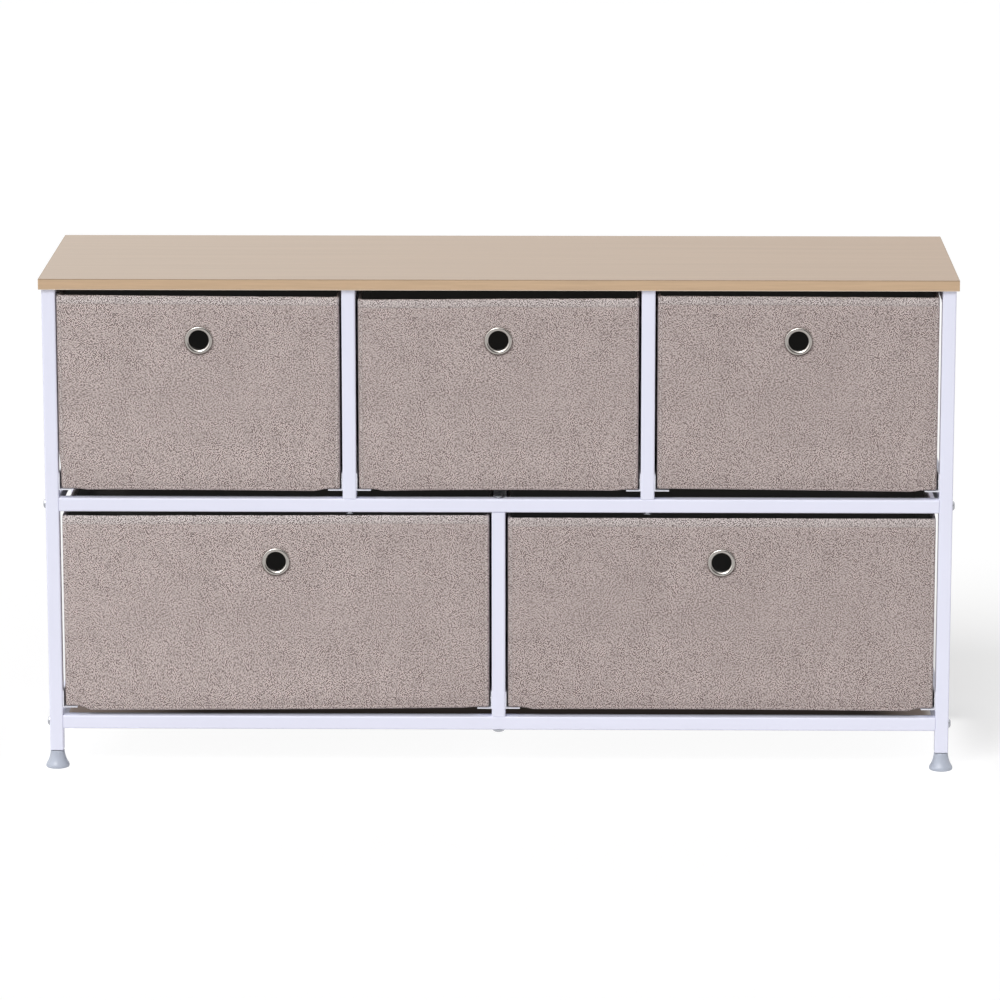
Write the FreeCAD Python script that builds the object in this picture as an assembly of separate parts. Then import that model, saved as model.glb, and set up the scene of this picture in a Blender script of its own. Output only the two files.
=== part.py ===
import FreeCAD, Part
import math
import os
from FreeCAD import Vector

# A low dresser: a frame of square steel tube with a wood top, and five fabric bins that slide on
# sheet metal runners, three narrow bins above two wide ones.
# Millimetres. X runs along the width, -Y is the front, Z is up.
# The origin is on the floor, under the middle of the top.

# Top
top_width = 1000.0
top_depth = 300.0
overall_height = 550.0
board_thickness = 12.0
edge_band_thickness = 0.8
edge_band_rounding = 0.4
top_overhang = 3.0  # past the frame, on all four sides

# Frame tube, square with rounded corners
tube_size = 15.0
tube_wall = 1.2
tube_corner_radius = 1.8
weld_step = 0.15  # how far the cross tubes stand inside the uprights' faces

# Undersides of the two levels of rails, above the floor
bottom_rail_height = 45.0
middle_rail_height = 291.0

# Plugs with a threaded bore, pushed into the tube ends
plug_length = 12.0
plug_clearance = 0.05
thread_radius = 3.0
thread_clearance = 0.05
through_hole_clearance = 0.15

# Every screw and rivet has a domed head
head_rim_height = 0.4  # the straight edge round the dome

# Bolts through the legs into the rails
bolt_head_radius = 5.2
bolt_head_height = 2.5

# Flanged screws through the rails into the divider posts
divider_head_radius = 5.3
divider_head_height = 2.0
divider_head_standoff = 1.2

# Wood screws up through the upper cross tubes into the board
board_screw_radius = 2.0
board_screw_head_radius = 4.0
board_screw_head_height = 1.8
board_screw_bite = 8.0
board_screw_spacing = 150.0
pilot_extra_depth = 1.0

# Runners, folded from sheet
runner_sheet = 1.0
runner_flange_width = 16.0
runner_web_height = 18.0
runner_rise = 10.0  # from the rail's top to the flange's top
runner_setback = 1.0  # from the frame's front and back faces
runner_stop_height = 12.0

# Blind rivets that hold the runners
rivet_radius = 2.0
rivet_clearance = 0.05
rivet_head_radius = 3.5
rivet_head_height = 0.9
rivet_bulb_radius = 2.6
rivet_bulb_length = 2.5

# Fabric bins
bin_side_clearance = 2.8
bin_top_clearance = 6.0
bin_front_recess = 2.0
bin_stop_clearance = 0.5
bin_seat_clearance = 0.3
bin_corner_radius = 3.0
fabric_thickness = 1.0
wall_board_thickness = 2.0
lining_thickness = 0.6
layer_gap = 0.05
base_board_thickness = 3.0
base_board_clearance = 1.0

# Eyelets, the finger pulls in the bins' fronts
eyelet_drop = 50.0  # from the bin's rim to the eyelet's centre
eyelet_hole_radius = 10.5
eyelet_barrel_wall = 0.8
eyelet_flange_radius = 15.5
eyelet_crown_height = 2.4
eyelet_bore_height = 1.2
eyelet_fit_clearance = 0.1
eyelet_lip_width = 1.2
eyelet_lip_thickness = 0.6
washer_thickness = 0.8

# Levelling feet
foot_height = 19.5
foot_gap = 1.0
foot_rim_radius = 13.0
foot_sole_radius = 11.8
foot_rim_low = 1.4
foot_rim_high = 3.4
foot_flare_radius = 8.3  # a point half way along the flare's curve
foot_flare_height = 8.4
foot_neck_radius = 7.0
foot_neck_height = 4.5
foot_stud_reach = 21.0  # above the foot
foot_stud_root = 10.0  # moulded into the foot

# Modelling allowances
overshoot = 1.0  # how far a cutting tool runs past what it cuts
coincidence = 1e-6  # places closer together than this are the same

# Sizes and places that follow from the values above
frame_width = top_width - 2 * top_overhang
frame_depth = top_depth - 2 * top_overhang
board_bottom = overall_height - board_thickness
leg_bottom = foot_height + foot_gap
leg_x = (frame_width - tube_size) / 2
leg_y = (frame_depth - tube_size) / 2
bottom_rail_top = bottom_rail_height + tube_size
middle_rail_top = middle_rail_height + tube_size
upper_bay_width = (frame_width - 4 * tube_size) / 3
lower_bay_width = (frame_width - 3 * tube_size) / 2
upper_post_x = (upper_bay_width + tube_size) / 2
bin_wall = fabric_thickness + wall_board_thickness + lining_thickness + 2 * layer_gap
bin_front = -frame_depth / 2 + bin_front_recess
stop_face = frame_depth / 2 - runner_setback - runner_sheet
bin_back = stop_face - bin_stop_clearance
rivet_rise = runner_rise + runner_web_height / 2
board_screw_length = tube_size - weld_step + board_screw_bite

ORIGIN = Vector(0, 0, 0)
LEFT = Vector(-1, 0, 0)
RIGHT = Vector(1, 0, 0)
FRONT = Vector(0, -1, 0)
BACK = Vector(0, 1, 0)
DOWN = Vector(0, 0, -1)
UP = Vector(0, 0, 1)

# Each bay: its name, its middle in X, its width, the rail top below it and the ceiling above it
upper_pitch = upper_bay_width + tube_size
lower_offset = (lower_bay_width + tube_size) / 2
BAYS = [
    ("upper_left", -upper_pitch, upper_bay_width, middle_rail_top, board_bottom),
    ("upper_middle", 0, upper_bay_width, middle_rail_top, board_bottom),
    ("upper_right", upper_pitch, upper_bay_width, middle_rail_top, board_bottom),
    ("lower_left", -lower_offset, lower_bay_width, bottom_rail_top, middle_rail_height),
    ("lower_right", lower_offset, lower_bay_width, bottom_rail_top, middle_rail_height),
]


# --- Shared shapes -------------------------------------------------------------------------------


def placed(shape, position, direction=UP):
    """A copy of a shape that was made along +Z, moved and turned to point another way."""
    copy = shape.copy()
    copy.Placement = FreeCAD.Placement(position, FreeCAD.Rotation(UP, direction))
    return copy


def upright_box(x, y, z, corner_radius=0):
    """A box between three pairs of limits, with its vertical edges rounded."""
    body = Part.makeBox(x[1] - x[0], y[1] - y[0], z[1] - z[0], Vector(x[0], y[0], z[0]))
    if corner_radius == 0:
        return body
    upright = [edge for edge in body.Edges if edge.Vertexes[0].Z != edge.Vertexes[1].Z]
    return body.makeFillet(corner_radius, upright)


def square_bar(size, length, corner_radius):
    """A solid square bar up from the origin, centred on Z."""
    half = size / 2
    return upright_box((-half, half), (-half, half), (0, length), corner_radius)


def tube_bore(size, length):
    """The room inside a tube of this outer size, up from the origin."""
    return square_bar(size - 2 * tube_wall, length, tube_corner_radius - tube_wall)


def tube(length):
    """A length of the frame's hollow tube, up from the origin."""
    return square_bar(tube_size, length, tube_corner_radius).cut(tube_bore(tube_size, length))


def line(start, end):
    """A straight edge in the XZ plane between two (radius, height) points."""
    return Part.LineSegment(Vector(start[0], 0, start[1]), Vector(end[0], 0, end[1])).toShape()


def arc(start, middle, end):
    """An arc in the XZ plane through three (radius, height) points."""
    points = [Vector(radius, 0, height) for radius, height in (start, middle, end)]
    return Part.Arc(*points).toShape()


def turned(edges):
    """The solid that a closed outline of (radius, height) edges sweeps round Z."""
    return Part.Face(Part.Wire(Part.__sortEdges__(edges))).revolve(ORIGIN, UP, 360)


def dome(radius, height):
    """A screw head below the XY plane: a straight rim, then a spherical cap that points down."""
    cap = height - head_rim_height
    ball = (radius**2 + cap**2) / (2 * cap)
    half_angle = math.asin(radius / ball) / 2
    shoulder = (ball * math.sin(half_angle), ball * (1 - math.cos(half_angle)) - height)
    outline = [
        line((0, 0), (radius, 0)),
        line((radius, 0), (radius, -head_rim_height)),
        arc((radius, -head_rim_height), shoulder, (0, -height)),
        line((0, -height), (0, 0)),
    ]
    return turned(outline)


def screw(shank_radius, shank_length, head_radius, head_height, standoff=0):
    """A screw along +Z: its shank starts at the origin and its head stands off below it."""
    head = placed(dome(head_radius, head_height), Vector(0, 0, -standoff))
    shank = Part.makeCylinder(shank_radius, shank_length + standoff, Vector(0, 0, -standoff))
    return head.fuse(shank).removeSplitter()


def drill(radius, length, position, direction):
    """The tool that drills a hole from a point, started a little outside it."""
    start = position - direction * overshoot
    return Part.makeCylinder(radius, length + 2 * overshoot, start, direction)


# --- Top -----------------------------------------------------------------------------------------


def top_limits(inset):
    """The X and Y limits of the top, moved in on all sides."""
    half_width = top_width / 2 - inset
    half_depth = top_depth / 2 - inset
    return (-half_width, half_width), (-half_depth, half_depth)


def board_screw_points():
    """Where the board screws pass up through the upper cross tubes."""
    columns = [-leg_x, -upper_post_x, upper_post_x, leg_x]
    rows = [-board_screw_spacing / 2, board_screw_spacing / 2]
    return [Vector(x, y, board_bottom - tube_size + weld_step) for x in columns for y in rows]


def top_board():
    """The wood core, with blind pilot holes in its underside."""
    core = upright_box(*top_limits(edge_band_thickness), (board_bottom, overall_height))
    radius = board_screw_radius + thread_clearance
    depth = board_screw_length + pilot_extra_depth
    return core.cut([Part.makeCylinder(radius, depth, point, UP) for point in board_screw_points()])


def edge_band():
    """The band glued round all four edges of the board."""
    level = (board_bottom, overall_height)
    ring = upright_box(*top_limits(0), level).cut(upright_box(*top_limits(edge_band_thickness), level))
    outer = []
    for edge in ring.Edges:
        middle = edge.CenterOfMass
        on_an_end = abs(abs(middle.x) - top_width / 2) < coincidence
        on_a_side = abs(abs(middle.y) - top_depth / 2) < coincidence
        if on_an_end or on_a_side:
            outer.append(edge)
    return ring.makeFillet(edge_band_rounding, outer)


def board_screws():
    head = board_screw_head_radius, board_screw_head_height
    one = screw(board_screw_radius, board_screw_length, *head)
    return Part.makeCompound([placed(one, point) for point in board_screw_points()])


# --- Frame ---------------------------------------------------------------------------------------


def welded_frame(x, bottom, top, cross_bottoms):
    """A front and a back upright, welded together by cross tubes between them."""
    gap = 2 * leg_y - tube_size
    sunk = gap + 2 * tube_corner_radius
    cross_size = tube_size - 2 * weld_step
    solids = []
    bores = []
    for y in (-leg_y, leg_y):
        solids.append(placed(square_bar(tube_size, top - bottom, tube_corner_radius), Vector(x, y, bottom)))
        bores.append(placed(tube_bore(tube_size, top - bottom), Vector(x, y, bottom)))
    cross_bar = square_bar(cross_size, sunk, tube_corner_radius)
    cross_bore = tube_bore(cross_size, gap)
    for cross_bottom in cross_bottoms:
        level = cross_bottom + tube_size / 2
        solids.append(placed(cross_bar, Vector(x, -sunk / 2, level), BACK))
        bores.append(placed(cross_bore, Vector(x, -gap / 2, level), BACK))
    return solids[0].fuse(solids[1:]).cut(bores).removeSplitter()


def screw_clearance_holes(x):
    """Tools for the board screws' holes through the upper cross tube at X."""
    radius = board_screw_radius + through_hole_clearance
    points = [point for point in board_screw_points() if abs(point.x - x) < tube_size / 2]
    return [drill(radius, tube_size, point, UP) for point in points]


def rivet_holes(x, direction, length, levels):
    """Tools for rivet holes in both uprights at X, from each one's middle or far face."""
    radius = rivet_radius + rivet_clearance
    points = [Vector(x, y, level + rivet_rise) for y in (-leg_y, leg_y) for level in levels]
    return [drill(radius, length, point, direction) for point in points]


def side_frame(side):
    """The left (-1) or right (1) end of the frame."""
    x = side * leg_x
    cross_bottoms = (bottom_rail_height, middle_rail_height, board_bottom - tube_size)
    frame = welded_frame(x, leg_bottom, board_bottom, cross_bottoms)
    inward = LEFT * side
    radius = thread_radius + through_hole_clearance
    bolt_holes = [drill(radius, tube_size, point, inward) for point in leg_bolt_points(side)]
    rivets = rivet_holes(x, inward, tube_size / 2, (bottom_rail_top, middle_rail_top))
    return frame.cut(bolt_holes + rivets + screw_clearance_holes(x))


def divider(x, bottom, top):
    """A divider between two bays, with rivet holes right through its posts."""
    frame = welded_frame(x, bottom, top, (bottom, top - tube_size))
    rivets = rivet_holes(x - tube_size / 2, RIGHT, tube_size, (bottom,))
    return frame.cut(rivets + screw_clearance_holes(x))


def divider_screw_points():
    """Where each divider screw enters its rail, and the way that it points."""
    below_middle = [(x, middle_rail_height, UP) for x in (-upper_post_x, upper_post_x)]
    lower_post = [(0, middle_rail_top, DOWN), (0, bottom_rail_height, UP)]
    return [(Vector(x, y, z), way) for x, z, way in below_middle + lower_post for y in (-leg_y, leg_y)]


def long_rail(y, bottom):
    """A rail between the two side frames, drilled for the divider screws that cross it."""
    length = frame_width - 2 * tube_size
    rail = placed(tube(length), Vector(-length / 2, y, bottom + tube_size / 2), RIGHT)
    radius = thread_radius + through_hole_clearance
    holes = []
    for point, way in divider_screw_points():
        in_this_rail = point.y == y and bottom <= point.z <= bottom + tube_size
        if in_this_rail:
            holes.append(drill(radius, tube_size, point, way))
    return rail.cut(holes)


def leg_bolt_points(side):
    """Where the bolts enter the outer face of the two legs on one side."""
    levels = [bottom + tube_size / 2 for bottom in (bottom_rail_height, middle_rail_height)]
    return [Vector(side * frame_width / 2, y, level) for y in (-leg_y, leg_y) for level in levels]


def leg_bolts():
    one = screw(thread_radius, tube_size + plug_length, bolt_head_radius, bolt_head_height)
    left = [placed(one, point, RIGHT) for point in leg_bolt_points(-1)]
    right = [placed(one, point, LEFT) for point in leg_bolt_points(1)]
    return Part.makeCompound(left + right)


def divider_screws():
    length = tube_size + plug_length
    one = screw(thread_radius, length, divider_head_radius, divider_head_height, divider_head_standoff)
    return Part.makeCompound([placed(one, point, way) for point, way in divider_screw_points()])


def tube_plugs():
    """The threaded plugs in the rails' ends, the divider posts' ends and the legs' lower ends."""
    size = tube_size - 2 * tube_wall - 2 * plug_clearance
    blank = square_bar(size, plug_length, tube_corner_radius - tube_wall)
    one = blank.cut(drill(thread_radius + thread_clearance, plug_length, ORIGIN, UP))
    rail_ends = [
        (point + inward * tube_size, inward)
        for side, inward in ((-1, RIGHT), (1, LEFT))
        for point in leg_bolt_points(side)
    ]
    post_ends = [(point + way * tube_size, way) for point, way in divider_screw_points()]
    leg_ends = [(Vector(x, y, leg_bottom), UP) for x in (-leg_x, leg_x) for y in (-leg_y, leg_y)]
    return Part.makeCompound([placed(one, point, way) for point, way in rail_ends + post_ends + leg_ends])


def foot():
    """A flared levelling foot with its stud, standing on the origin."""
    neck_bottom = foot_height - foot_neck_height
    flare = (foot_flare_radius, foot_flare_height)
    outline = [
        line((0, 0), (foot_sole_radius, 0)),
        line((foot_sole_radius, 0), (foot_rim_radius, foot_rim_low)),
        line((foot_rim_radius, foot_rim_low), (foot_rim_radius, foot_rim_high)),
        arc((foot_rim_radius, foot_rim_high), flare, (foot_neck_radius, neck_bottom)),
        line((foot_neck_radius, neck_bottom), (foot_neck_radius, foot_height)),
        line((foot_neck_radius, foot_height), (0, foot_height)),
        line((0, foot_height), (0, 0)),
    ]
    stud_length = foot_stud_root + foot_stud_reach
    stud = Part.makeCylinder(thread_radius, stud_length, Vector(0, 0, foot_height - foot_stud_root))
    return turned(outline).fuse(stud).removeSplitter()


# --- Runners -------------------------------------------------------------------------------------


def runner(face, inward, rail_top):
    """An L-shaped runner on the tube face at X = face, with a stop folded up at its back end."""
    flange_top = rail_top + runner_rise
    length = (-frame_depth / 2 + runner_setback, frame_depth / 2 - runner_setback)
    across = sorted((face, face + inward * runner_flange_width))
    web_across = sorted((face, face + inward * runner_sheet))
    flange_bottom = flange_top - runner_sheet
    flange = upright_box(across, length, (flange_bottom, flange_top))
    web = upright_box(web_across, length, (flange_bottom, flange_top + runner_web_height))
    stop = upright_box(across, (stop_face, length[1]), (flange_bottom, flange_top + runner_stop_height))
    radius = rivet_radius + rivet_clearance
    points = [Vector(face, y, rail_top + rivet_rise) for y in (-leg_y, leg_y)]
    holes = [drill(radius, runner_sheet, point, RIGHT * inward) for point in points]
    return flange.fuse([web, stop]).removeSplitter().cut(holes)


def rivet():
    """A blind rivet along +Z, with its head below the origin and its bulb inside the tube."""
    grip = runner_sheet + tube_wall
    head = dome(rivet_head_radius, rivet_head_height)
    shank = Part.makeCylinder(rivet_radius, grip + rivet_bulb_length)
    bulb = Part.makeCylinder(rivet_bulb_radius, rivet_bulb_length, Vector(0, 0, grip))
    return head.fuse([shank, bulb]).removeSplitter()


def runner_rivets():
    one = rivet()
    rivets = []
    for name, middle, width, rail_top, ceiling in BAYS:
        for outward, direction in ((-1, LEFT), (1, RIGHT)):
            x = middle + outward * (width / 2 - runner_sheet)
            for y in (-leg_y, leg_y):
                rivets.append(placed(one, Vector(x, y, rail_top + rivet_rise), direction))
    return Part.makeCompound(rivets)


# --- Bins ----------------------------------------------------------------------------------------


class Bin:
    """One fabric bin, in its bay, built in layers from the outside in."""

    def __init__(self, middle, bay_width, rail_top, ceiling):
        self.middle = middle
        self.half_width = bay_width / 2 - bin_side_clearance
        self.bottom = rail_top + runner_rise + bin_seat_clearance
        self.top = ceiling - bin_top_clearance
        self.eyelet_height = self.top - eyelet_drop

    def plan(self, inset):
        """The X and Y limits of a layer that lies this far inside the bin's outer faces."""
        x = (self.middle - self.half_width + inset, self.middle + self.half_width - inset)
        return x, (bin_front + inset, bin_back - inset)

    def eyelet_hole(self):
        """The tool for the hole through the front wall that takes the eyelet's barrel."""
        radius = eyelet_hole_radius + eyelet_barrel_wall + eyelet_fit_clearance
        return drill(radius, bin_wall, Vector(self.middle, bin_front, self.eyelet_height), BACK)

    def shell(self):
        """The outer fabric: four walls, a bottom, and a rim folded in over the wall boards."""
        outside = upright_box(*self.plan(0), (self.bottom, self.top), bin_corner_radius)
        pocket_radius = bin_corner_radius - fabric_thickness
        pocket_level = (self.bottom + fabric_thickness, self.top - fabric_thickness)
        pocket = upright_box(*self.plan(fabric_thickness), pocket_level, pocket_radius)
        mouth = upright_box(*self.plan(bin_wall), (self.bottom + fabric_thickness, self.top + overshoot))
        return outside.cut([pocket, mouth, self.eyelet_hole()])

    def board_level(self):
        """The Z limits of the wall boards and the lining, between the fabric's bottom and its rim."""
        return self.bottom + fabric_thickness + layer_gap, self.top - fabric_thickness - layer_gap

    def wall_boards(self):
        """The four stiff boards in the walls: the side boards stand between the front and back ones."""
        outer = fabric_thickness + layer_gap
        inner = outer + wall_board_thickness
        (left, right), (front, back) = self.plan(outer)
        (inner_left, inner_right), (inner_front, inner_back) = self.plan(inner)
        wide = (left + bin_corner_radius, right - bin_corner_radius)
        deep = (inner_front + layer_gap, inner_back - layer_gap)
        level = self.board_level()
        boards = [
            upright_box(wide, (front, inner_front), level).cut(self.eyelet_hole()),
            upright_box(wide, (inner_back, back), level),
            upright_box((left, inner_left), deep, level),
            upright_box((inner_right, right), deep, level),
        ]
        return Part.makeCompound(boards)

    def lining(self):
        """The thin dark lining: an open box against the wall boards."""
        outside = self.plan(bin_wall - lining_thickness)
        level = self.board_level()
        room = upright_box(*self.plan(bin_wall), (level[0] + lining_thickness, level[1]))
        return upright_box(*outside, level).cut([room, self.eyelet_hole()])

    def base_board(self):
        """The loose board that lies on the lining and keeps the bottom flat."""
        low = self.board_level()[0] + lining_thickness
        return upright_box(*self.plan(bin_wall + base_board_clearance), (low, low + base_board_thickness))

    def eyelet(self):
        """The crowned ring with its barrel through the front wall, rolled over behind the washer."""
        bore = eyelet_hole_radius
        barrel = bore + eyelet_barrel_wall
        lip = barrel + eyelet_lip_width
        washer_back = -bin_wall - washer_thickness
        end = washer_back - eyelet_lip_thickness
        crown = ((bore + eyelet_flange_radius) / 2, eyelet_crown_height)
        outline = [
            arc((bore, eyelet_bore_height), crown, (eyelet_flange_radius, 0)),
            line((eyelet_flange_radius, 0), (barrel, 0)),
            line((barrel, 0), (barrel, washer_back)),
            line((barrel, washer_back), (lip, washer_back)),
            line((lip, washer_back), (lip, end)),
            line((lip, end), (bore, end)),
            line((bore, end), (bore, eyelet_bore_height)),
        ]
        return placed(turned(outline), Vector(self.middle, bin_front, self.eyelet_height), FRONT)

    def eyelet_washer(self):
        """The flat ring behind the front wall, under the barrel's rolled lip."""
        centre = Vector(self.middle, bin_front + bin_wall, self.eyelet_height)
        hole = eyelet_hole_radius + eyelet_barrel_wall + eyelet_fit_clearance
        disc = Part.makeCylinder(eyelet_flange_radius, washer_thickness, centre, BACK)
        return disc.cut(drill(hole, washer_thickness, centre, BACK))


# --- Assembly ------------------------------------------------------------------------------------


def frame_parts():
    """The top, the frame and what holds them together, by node name."""
    parts = {
        "top_board": top_board(),
        "edge_band": edge_band(),
        "board_screws": board_screws(),
        "side_frame_left": side_frame(-1),
        "side_frame_right": side_frame(1),
        "upper_divider_left": divider(-upper_post_x, middle_rail_top, board_bottom),
        "upper_divider_right": divider(upper_post_x, middle_rail_top, board_bottom),
        "lower_divider": divider(0, bottom_rail_top, middle_rail_height),
        "leg_bolts": leg_bolts(),
        "divider_screws": divider_screws(),
        "tube_plugs": tube_plugs(),
        "runner_rivets": runner_rivets(),
    }
    for place, y in (("front", -leg_y), ("back", leg_y)):
        parts["middle_rail_" + place] = long_rail(y, middle_rail_height)
        parts["bottom_rail_" + place] = long_rail(y, bottom_rail_height)
        parts["foot_" + place + "_left"] = placed(foot(), Vector(-leg_x, y, 0))
        parts["foot_" + place + "_right"] = placed(foot(), Vector(leg_x, y, 0))
    return parts


def bin_parts():
    """The runners and the layers of each bin, by node name."""
    parts = {}
    for name, middle, width, rail_top, ceiling in BAYS:
        parts["runner_" + name + "_a"] = runner(middle - width / 2, 1, rail_top)
        parts["runner_" + name + "_b"] = runner(middle + width / 2, -1, rail_top)
        this_bin = Bin(middle, width, rail_top, ceiling)
        parts["bin_shell_" + name] = this_bin.shell()
        parts["wall_boards_" + name] = this_bin.wall_boards()
        parts["lining_" + name] = this_bin.lining()
        parts["base_board_" + name] = this_bin.base_board()
        parts["eyelet_" + name] = this_bin.eyelet()
        parts["eyelet_washer_" + name] = this_bin.eyelet_washer()
    return parts


def main():
    os.makedirs("parts", exist_ok=True)
    for node, shape in {**frame_parts(), **bin_parts()}.items():
        shape.exportStep("parts/" + node + ".step")
        print(node, len(shape.Solids), "solid(s),", round(shape.Volume / 1000, 2), "cm3")


main()
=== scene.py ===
# %% [markdown]
# # A low dresser with five fabric bins
# The dresser is a frame of square steel tube with an oak look top. Three narrow bins stand above
# two wide ones, and each slides out on a pair of folded steel runners.
# The packed CAD model gives the rigid shapes and the bodies that move. This lesson gives those
# shapes their finishes, and models what is soft or fine: the sewn bins, their linings, the
# stitches, the eyelets and the heads of the bolts.

# %% Load the packed model
import bmesh
import bpy
import math
from contextlib import contextmanager
from mathutils import Matrix, Vector, noise


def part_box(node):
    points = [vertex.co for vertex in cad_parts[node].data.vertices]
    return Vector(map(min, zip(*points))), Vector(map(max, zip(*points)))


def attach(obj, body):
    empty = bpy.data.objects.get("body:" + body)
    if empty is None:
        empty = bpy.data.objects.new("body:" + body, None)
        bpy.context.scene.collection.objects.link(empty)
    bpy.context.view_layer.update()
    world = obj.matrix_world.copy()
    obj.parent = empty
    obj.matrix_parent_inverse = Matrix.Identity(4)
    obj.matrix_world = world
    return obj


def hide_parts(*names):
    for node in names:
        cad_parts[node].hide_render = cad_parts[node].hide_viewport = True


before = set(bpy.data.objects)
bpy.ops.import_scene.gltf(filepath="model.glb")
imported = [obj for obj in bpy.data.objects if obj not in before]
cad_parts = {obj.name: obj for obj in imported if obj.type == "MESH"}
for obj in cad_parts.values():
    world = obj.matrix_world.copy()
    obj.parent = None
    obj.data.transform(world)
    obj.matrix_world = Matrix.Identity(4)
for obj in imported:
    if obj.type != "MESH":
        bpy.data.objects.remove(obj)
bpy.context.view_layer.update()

# %% [markdown]
# ## Tools for modelling
# Every piece starts as a primitive at its place, and is then shaped in edit mode, as it would be
# by hand. An operator acts on all that is selected, so each helper first clears the selection,
# and then picks faces or edges by where they are.

# %% Select and edit
MM = 0.001
LEFT, RIGHT = Vector((-1, 0, 0)), Vector((1, 0, 0))
FRONT, BACK = Vector((0, -1, 0)), Vector((0, 1, 0))
DOWN, UP = Vector((0, 0, -1)), Vector((0, 0, 1))


def only(piece):
    """Selects this one piece and makes it active."""
    bpy.ops.object.select_all(action="DESELECT")
    piece.select_set(True)
    bpy.context.view_layer.objects.active = piece


@contextmanager
def editing(piece):
    """Edit mode on one piece, with all of its mesh selected at the start."""
    only(piece)
    bpy.ops.object.mode_set(mode="EDIT")
    bpy.ops.mesh.select_all(action="SELECT")
    yield
    bpy.ops.object.mode_set(mode="OBJECT")


def pick(kind, test):
    """In edit mode, selects the vertices, edges or faces that pass a test."""
    bpy.ops.mesh.select_mode(type=kind)
    bpy.ops.mesh.select_all(action="DESELECT")
    form = bmesh.from_edit_mesh(bpy.context.object.data)
    for item in {"VERT": form.verts, "EDGE": form.edges, "FACE": form.faces}[kind]:
        if test(item):
            item.select_set(True)
    form.select_flush_mode()
    bmesh.update_edit_mesh(bpy.context.object.data)


print("ready to select and edit")


# %% Add and cut
def slice_across(axis, places):
    """In edit mode, cuts the whole mesh at each place along an axis, 0 for X to 2 for Z."""
    along = (RIGHT, BACK, UP)[axis]
    for place in places:
        bpy.ops.mesh.select_all(action="SELECT")
        bpy.ops.mesh.bisect(plane_co=along * place, plane_no=along)


def added(operator, **settings):
    """The object that an operator adds, with nothing else selected."""
    bpy.ops.object.select_all(action="DESELECT")
    operator(**settings)
    return bpy.context.object


def block(name, low, high):
    """A box between two corners, as a first shape to work on."""
    piece = added(bpy.ops.mesh.primitive_cube_add, size=1, location=(low + high) / 2)
    piece.name = name
    piece.scale = high - low
    bpy.ops.object.transform_apply(location=True, rotation=True, scale=True)
    return piece


print("ready to add a block and cut it")


# %% Modify, copy and join
def modify(piece, kind, **settings):
    """Adds a modifier and applies it straight away."""
    only(piece)
    modifier = piece.modifiers.new(kind.title(), kind)
    for name, value in settings.items():
        setattr(modifier, name, value)
    bpy.ops.object.modifier_apply(modifier=modifier.name)


def smooth(piece, degrees=35):
    """Smooth shading, except across edges that are sharper than this angle."""
    only(piece)
    bpy.ops.object.shade_smooth_by_angle(angle=math.radians(degrees))


def copy_of(piece, name):
    """A copy with a mesh of its own."""
    twin = piece.copy()
    twin.data = piece.data.copy()
    twin.name = name
    bpy.context.scene.collection.objects.link(twin)
    return twin


def join(name, pieces):
    """Joins pieces into one mesh."""
    only(pieces[0])
    for piece in pieces[1:]:
        piece.select_set(True)
    bpy.ops.object.join()
    pieces[0].name = name
    return pieces[0]


def store(piece, name, values):
    """Stores a number on each point of a piece, for its finish to read."""
    layer = piece.data.attributes.new(name, "FLOAT", "POINT")
    layer.data.foreach_set("value", values)


def smoothstep(low, high, value):
    """0 below low, 1 above high, and an even curve between them."""
    share = min(max((value - low) / (high - low), 0), 1)
    return share * share * (3 - 2 * share)


print("a quarter of the way up, smoothstep is at", smoothstep(0, 1, 0.25))

# %% [markdown]
# ## Tools for finishes
# A finish is a node graph. Shader maths reads best as plain arithmetic, so a small class wraps a
# socket and turns each operator into a Math node. Any other node comes from one method.

# %% Arithmetic on sockets
def maths(operation, reflected=False):
    """A method that adds a Math node. It is reflected where the wire comes second, as in 1 - mask."""

    def method(wire, other):
        first, second = (other, wire) if reflected else (wire, other)
        return wire.graph.node("Math", {0: first, 1: second}, operation=operation)

    return method


class Wire:
    """A socket that can be used in arithmetic."""

    def __init__(self, graph, socket):
        self.graph = graph
        self.socket = socket

    __add__, __radd__ = maths("ADD"), maths("ADD", reflected=True)
    __sub__, __rsub__ = maths("SUBTRACT"), maths("SUBTRACT", reflected=True)
    __mul__, __rmul__ = maths("MULTIPLY"), maths("MULTIPLY", reflected=True)
    __truediv__, __pow__, __mod__ = maths("DIVIDE"), maths("POWER"), maths("FLOORED_MODULO")
    __gt__, __lt__ = maths("GREATER_THAN"), maths("LESS_THAN")

    def floor(self):
        return self.graph.node("Math", {0: self}, operation="FLOOR")


print("sockets can be added, subtracted, multiplied, divided, raised, wrapped and compared")


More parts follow.
